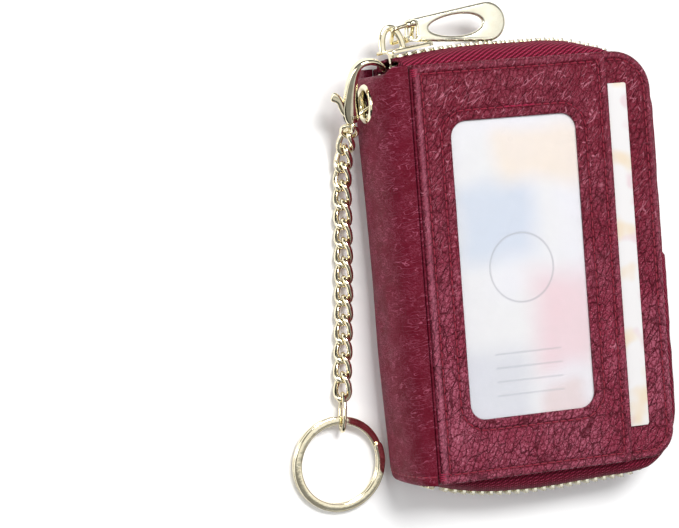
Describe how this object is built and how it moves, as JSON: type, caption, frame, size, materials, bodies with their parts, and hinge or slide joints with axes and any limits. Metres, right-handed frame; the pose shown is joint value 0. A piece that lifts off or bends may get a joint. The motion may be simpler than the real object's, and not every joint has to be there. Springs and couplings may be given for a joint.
{
  "type": "card wallet",
  "caption": "Zip-round leather card wallet with accordion pockets, an ID window on the front, a coin zip inside, and a key ring on a chain clipped to its spine.",
  "frame": {"origin": "middle of the back cover's outer face, which lies on the table", "axes": "+X from the spine to the fore edge, +Y to the end where the closed zip slider stands, +Z out of the front cover"},
  "size_m": [0.0996, 0.1233, 0.025],
  "materials": {
    "cover_leather": "pebbled grain, semi-gloss",
    "spine_leather": "smoother grain with fine creases",
    "zip_tape": "woven tape",
    "gold_metal": "polished pale gold plating",
    "black_lining": "fine woven lining",
    "board": "grey stiffener board",
    "clear_film": "clear and flexible",
    "card": "satin printed card",
    "nylon_coil": "satin nylon"
  },
  "bodies": {
    "wallet_back": {"back_cover": "cover_leather", "back_board": "board", "back_lining": "black_lining", "spine_cover": "spine_leather", "grommet": "gold_metal", "back_zip_tape": "zip_tape", "back_zip_teeth": "gold_metal", "zip_stop_back": "gold_metal", "coin_zip_tape": "black_lining", "coin_zip_coil": "nylon_coil"},
    "front": {"front_cover": "cover_leather", "front_board": "board", "front_lining": "black_lining", "window_panel": "cover_leather", "id_window": "clear_film", "front_zip_tape": "zip_tape", "front_zip_teeth": "gold_metal", "zip_stop_front": "gold_metal"},
    "leaf_01": {"pocket_leaf_01": "black_lining"},
    "leaf_02": {"pocket_leaf_02": "black_lining"},
    "leaf_03": {"pocket_leaf_03": "black_lining"},
    "leaf_04": {"pocket_leaf_04": "black_lining"},
    "leaf_05": {"pocket_leaf_05": "black_lining"},
    "leaf_06": {"pocket_leaf_06": "black_lining"},
    "leaf_07": {"pocket_leaf_07": "black_lining"},
    "leaf_08": {"pocket_leaf_08": "black_lining"},
    "leaf_09": {"pocket_leaf_09": "black_lining"},
    "leaf_10": {"pocket_leaf_10": "black_lining"},
    "leaf_11": {"pocket_leaf_11": "black_lining"},
    "leaf_12": {"pocket_leaf_12": "black_lining"},
    "card": {"display_card": "card"},
    "slider": {"slider_body": "gold_metal"},
    "link": {"pull_link": "gold_metal"},
    "tab": {"pull_tab": "gold_metal"},
    "clasp": {"clasp_body": "gold_metal", "clasp_pin": "gold_metal"},
    "gate": {"clasp_gate": "gold_metal"},
    "jump": {"jump_ring": "gold_metal"},
    "chain_01": {"chain_link_01": "gold_metal"},
    "chain_02": {"chain_link_02": "gold_metal"},
    "chain_03": {"chain_link_03": "gold_metal"},
    "chain_04": {"chain_link_04": "gold_metal"},
    "chain_05": {"chain_link_05": "gold_metal"},
    "chain_06": {"chain_link_06": "gold_metal"},
    "chain_07": {"chain_link_07": "gold_metal"},
    "chain_08": {"chain_link_08": "gold_metal"},
    "chain_09": {"chain_link_09": "gold_metal"},
    "chain_10": {"chain_link_10": "gold_metal"},
    "chain_11": {"chain_link_11": "gold_metal"},
    "chain_12": {"chain_link_12": "gold_metal"},
    "chain_13": {"chain_link_13": "gold_metal"},
    "chain_14": {"chain_link_14": "gold_metal"},
    "end_link": {"end_link": "gold_metal"},
    "ring": {"split_ring": "gold_metal"},
    "coin_slider": {"coin_slider": "gold_metal"},
    "coin_pull": {"coin_pull": "gold_metal"}
  },
  "joints": [
    {"name": "cover_opening", "type": "hinge", "parent": "wallet_back", "child": "front", "pos_m": [-0.0315, 0, 0.0202], "axis": [0, -1, 0], "range_deg": [0, 72], "deforming": ["spine_cover", "front_zip_tape", "front_zip_teeth", "back_zip_tape", "back_zip_teeth"]},
    {"name": "leaf_01_fan", "type": "hinge", "parent": "wallet_back", "child": "leaf_01", "pos_m": [-0.03105, 0, 0.00388], "axis": [0, -1, 0], "range_deg": [0, 5.55]},
    {"name": "leaf_02_fan", "type": "hinge", "parent": "wallet_back", "child": "leaf_02", "pos_m": [-0.03105, 0, 0.00525], "axis": [0, -1, 0], "range_deg": [0, 11.09]},
    {"name": "leaf_03_fan", "type": "hinge", "parent": "wallet_back", "child": "leaf_03", "pos_m": [-0.03105, 0, 0.00663], "axis": [0, -1, 0], "range_deg": [0, 16.62]},
    {"name": "leaf_04_fan", "type": "hinge", "parent": "wallet_back", "child": "leaf_04", "pos_m": [-0.03105, 0, 0.00801], "axis": [0, -1, 0], "range_deg": [0, 22.16]},
    {"name": "leaf_05_fan", "type": "hinge", "parent": "wallet_back", "child": "leaf_05", "pos_m": [-0.03105, 0, 0.00938], "axis": [0, -1, 0], "range_deg": [0, 27.7]},
    {"name": "leaf_06_fan", "type": "hinge", "parent": "wallet_back", "child": "leaf_06", "pos_m": [-0.03105, 0, 0.01076], "axis": [0, -1, 0], "range_deg": [0, 33.24]},
    {"name": "leaf_07_fan", "type": "hinge", "parent": "wallet_back", "child": "leaf_07", "pos_m": [-0.03105, 0, 0.01214], "axis": [0, -1, 0], "range_deg": [0, 38.78]},
    {"name": "leaf_08_fan", "type": "hinge", "parent": "wallet_back", "child": "leaf_08", "pos_m": [-0.03105, 0, 0.01351], "axis": [0, -1, 0], "range_deg": [0, 44.32]},
    {"name": "leaf_09_fan", "type": "hinge", "parent": "wallet_back", "child": "leaf_09", "pos_m": [-0.03105, 0, 0.01489], "axis": [0, -1, 0], "range_deg": [0, 49.86]},
    {"name": "leaf_10_fan", "type": "hinge", "parent": "wallet_back", "child": "leaf_10", "pos_m": [-0.03105, 0, 0.01627], "axis": [0, -1, 0], "range_deg": [0, 55.4]},
    {"name": "leaf_11_fan", "type": "hinge", "parent": "wallet_back", "child": "leaf_11", "pos_m": [-0.03105, 0, 0.01765], "axis": [0, -1, 0], "range_deg": [0, 60.93]},
    {"name": "leaf_12_fan", "type": "hinge", "parent": "wallet_back", "child": "leaf_12", "pos_m": [-0.03105, 0, 0.01902], "axis": [0, -1, 0], "range_deg": [0, 66.47]},
    {"name": "card_slide", "type": "slide", "parent": "front", "child": "card", "axis": [1, 0, 0], "range_m": [0, 0.05]},
    {"name": "slider_run", "type": "hinge", "parent": "wallet_back", "child": "slider", "pos_m": [-0.00725, -0.0941, 0.01145], "axis": [0, 0, -1], "range_deg": [0, 16], "deforming": ["front_zip_tape", "front_zip_teeth", "back_zip_tape", "back_zip_teeth"]},
    {"name": "pull_link_swing", "type": "hinge", "parent": "slider", "child": "link", "pos_m": [-0.03075, 0.05959, 0.01145], "axis": [0, 0, 1], "range_deg": [0, 110]},
    {"name": "pull_tab_swing", "type": "hinge", "parent": "link", "child": "tab", "pos_m": [-0.02529, 0.06082, 0.01145], "axis": [0.1629, -0.7251, 0.6691], "range_deg": [0, 15]},
    {"name": "clasp_swing", "type": "hinge", "parent": "wallet_back", "child": "clasp", "pos_m": [-0.03875, 0.0436, 0.0123], "axis": [1, 0, 0], "range_deg": [-12, 12]},
    {"name": "clasp_gate_open", "type": "hinge", "parent": "clasp", "child": "gate", "pos_m": [-0.04265, 0.04088, 0.01131], "axis": [0, -0.342, 0.9397], "range_deg": [0, 5]},
    {"name": "jump_ring_swing", "type": "hinge", "parent": "clasp", "child": "jump", "pos_m": [-0.0428, 0.03856, 0.01047], "axis": [0.0201, 0.7658, -0.6428], "range_deg": [0, 12]},
    {"name": "chain_01_swing", "type": "hinge", "parent": "jump", "child": "chain_01", "pos_m": [-0.04285, 0.03652, 0.00804], "axis": [-0.9997, 0.0262, 0], "range_deg": [0, 8]},
    {"name": "chain_02_swing", "type": "hinge", "parent": "chain_01", "child": "chain_02", "pos_m": [-0.04295, 0.03289, 0.00498], "axis": [0.0155, 0.4692, -0.8829], "range_deg": [0, 12]},
    {"name": "chain_03_swing", "type": "hinge", "parent": "chain_02", "child": "chain_03", "pos_m": [-0.04308, 0.02869, 0.00275], "axis": [-0.9992, 0.0399, 0], "range_deg": [0, 12]},
    {"name": "chain_04_swing", "type": "hinge", "parent": "chain_03", "child": "chain_04", "pos_m": [-0.04327, 0.02411, 0.00152], "axis": [0.0007, 0.015, -0.9999], "range_deg": [0, 12]},
    {"name": "chain_05_swing", "type": "hinge", "parent": "chain_04", "child": "chain_05", "pos_m": [-0.04349, 0.01937, 0.00145], "axis": [-0.9986, 0.0536, 0], "range_deg": [0, 12]},
    {"name": "chain_06_swing", "type": "hinge", "parent": "chain_05", "child": "chain_06", "pos_m": [-0.04374, 0.01462, 0.00145], "axis": [0, 0, -1], "range_deg": [0, 12]},
    {"name": "chain_07_swing", "type": "hinge", "parent": "chain_06", "child": "chain_07", "pos_m": [-0.04403, 0.00988, 0.00145], "axis": [-0.9977, 0.0673, 0], "range_deg": [0, 12]},
    {"name": "chain_08_swing", "type": "hinge", "parent": "chain_07", "child": "chain_08", "pos_m": [-0.04435, 0.00514, 0.00145], "axis": [0, 0, -1], "range_deg": [0, 12]},
    {"name": "chain_09_swing", "type": "hinge", "parent": "chain_08", "child": "chain_09", "pos_m": [-0.0447, 0.0004, 0.00145], "axis": [-0.9967, 0.0809, 0], "range_deg": [0, 12]},
    {"name": "chain_10_swing", "type": "hinge", "parent": "chain_09", "child": "chain_10", "pos_m": [-0.04509, -0.00433, 0.00145], "axis": [0, 0, -1], "range_deg": [0, 12]},
    {"name": "chain_11_swing", "type": "hinge", "parent": "chain_10", "child": "chain_11", "pos_m": [-0.0455, -0.00906, 0.00145], "axis": [-0.9955, 0.0946, 0], "range_deg": [0, 12]},
    {"name": "chain_12_swing", "type": "hinge", "parent": "chain_11", "child": "chain_12", "pos_m": [-0.04595, -0.01379, 0.00145], "axis": [0, 0, -1], "range_deg": [0, 12]},
    {"name": "chain_13_swing", "type": "hinge", "parent": "chain_12", "child": "chain_13", "pos_m": [-0.04644, -0.01852, 0.00145], "axis": [-0.9941, 0.1082, 0], "range_deg": [0, 12]},
    {"name": "chain_14_swing", "type": "hinge", "parent": "chain_13", "child": "chain_14", "pos_m": [-0.04695, -0.02324, 0.00145], "axis": [-0.012, -0.1038, -0.9945], "range_deg": [0, 12]},
    {"name": "end_link_swing", "type": "hinge", "parent": "chain_14", "child": "end_link", "pos_m": [-0.04749, -0.02793, 0.00195], "axis": [-0.9925, 0.1219, 0], "range_deg": [0, 12]},
    {"name": "split_ring_swing", "type": "hinge", "parent": "end_link", "child": "ring", "pos_m": [-0.0482, -0.03371, 0.00318], "axis": [0.0112, 0.0913, -0.9958], "range_deg": [0, 15]},
    {"name": "coin_slider_run", "type": "slide", "parent": "wallet_back", "child": "coin_slider", "axis": [0, 1, 0], "range_m": [0, 0.06]},
    {"name": "coin_pull_swing", "type": "hinge", "parent": "coin_slider", "child": "coin_pull", "pos_m": [0.02525, -0.032, 0.00605], "axis": [1, 0, 0], "range_deg": [0, 75]}
  ],
  "couplings": [
    {"joint": "leaf_01_fan", "follows": "cover_opening", "ratio": 0.076923},
    {"joint": "leaf_02_fan", "follows": "cover_opening", "ratio": 0.15385},
    {"joint": "leaf_03_fan", "follows": "cover_opening", "ratio": 0.23077},
    {"joint": "leaf_04_fan", "follows": "cover_opening", "ratio": 0.30769},
    {"joint": "leaf_05_fan", "follows": "cover_opening", "ratio": 0.38461},
    {"joint": "leaf_06_fan", "follows": "cover_opening", "ratio": 0.46154},
    {"joint": "leaf_07_fan", "follows": "cover_opening", "ratio": 0.53846},
    {"joint": "leaf_08_fan", "follows": "cover_opening", "ratio": 0.61538},
    {"joint": "leaf_09_fan", "follows": "cover_opening", "ratio": 0.69231},
    {"joint": "leaf_10_fan", "follows": "cover_opening", "ratio": 0.76923},
    {"joint": "leaf_11_fan", "follows": "cover_opening", "ratio": 0.84615},
    {"joint": "leaf_12_fan", "follows": "cover_opening", "ratio": 0.92308}
  ]
}
